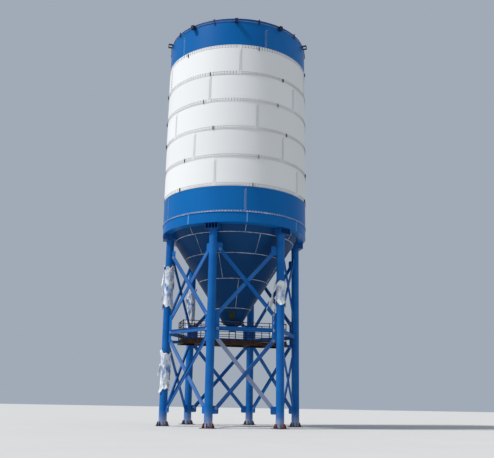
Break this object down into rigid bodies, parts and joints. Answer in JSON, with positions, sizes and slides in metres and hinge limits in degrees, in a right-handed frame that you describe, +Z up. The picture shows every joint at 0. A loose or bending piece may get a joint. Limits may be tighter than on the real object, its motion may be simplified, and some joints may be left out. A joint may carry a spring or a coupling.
{
  "type": "bolted steel cement silo on legs",
  "caption": "Tall round bolted-sheet steel silo with a conical hopper, standing on braced tubular legs, with an outlet platform.",
  "frame": {"origin": "on the ground at the silo's vertical axis", "axes": "+Z up along the axis; one leg stands at -Y and the others every 60 degrees"},
  "size_m": [9.734, 9.4202, 25.6796],
  "materials": {
    "blue_paint": "semi-gloss paint",
    "white_paint": "semi-gloss paint",
    "lug_steel": "dark paint",
    "dark_steel": "worn dark primer",
    "protective_film": "torn matt film",
    "sealant": "matt bead",
    "zinc_bolts": "dull zinc"
  },
  "bodies": {
    "root": {"shell_course_1": "blue_paint", "shell_course_2": "white_paint", "shell_course_3": "white_paint", "shell_course_4": "white_paint", "shell_course_5": "white_paint", "shell_course_6": "white_paint", "shell_course_7": "blue_paint", "ring_beam": "blue_paint", "hopper_course_1": "blue_paint", "hopper_course_2": "blue_paint", "hopper_course_3": "blue_paint", "hopper_course_4": "blue_paint", "hopper_course_5": "blue_paint", "hopper_hatch": "dark_steel", "leg_1": "blue_paint", "leg_2": "blue_paint", "leg_3": "blue_paint", "leg_4": "blue_paint", "leg_5": "blue_paint", "leg_6": "blue_paint", "leg_head_1": "blue_paint", "leg_head_2": "blue_paint", "leg_head_3": "blue_paint", "leg_head_4": "blue_paint", "leg_head_5": "blue_paint", "leg_head_6": "blue_paint", "bracing_bay_1": "blue_paint", "bracing_bay_2": "blue_paint", "bracing_bay_3": "blue_paint", "bracing_bay_4": "blue_paint", "bracing_bay_5": "blue_paint", "bracing_bay_6": "blue_paint", "roof_kerb": "blue_paint", "roof_deck": "blue_paint", "filter_stub": "blue_paint", "relief_valve_stub": "blue_paint", "manhole_collar": "blue_paint", "manhole_lid": "blue_paint", "rim_flange": "lug_steel", "outlet_flange": "blue_paint", "outlet_throat": "blue_paint", "discharge_valve": "dark_steel", "valve_actuator": "dark_steel", "discharge_spout": "dark_steel", "platform_deck": "dark_steel", "platform_beams": "dark_steel", "platform_railing_1": "dark_steel", "platform_railing_2": "dark_steel", "platform_railing_3": "dark_steel", "platform_railing_4": "dark_steel", "platform_railing_5": "dark_steel", "platform_railing_6": "dark_steel"}
  },
  "joints": []
}
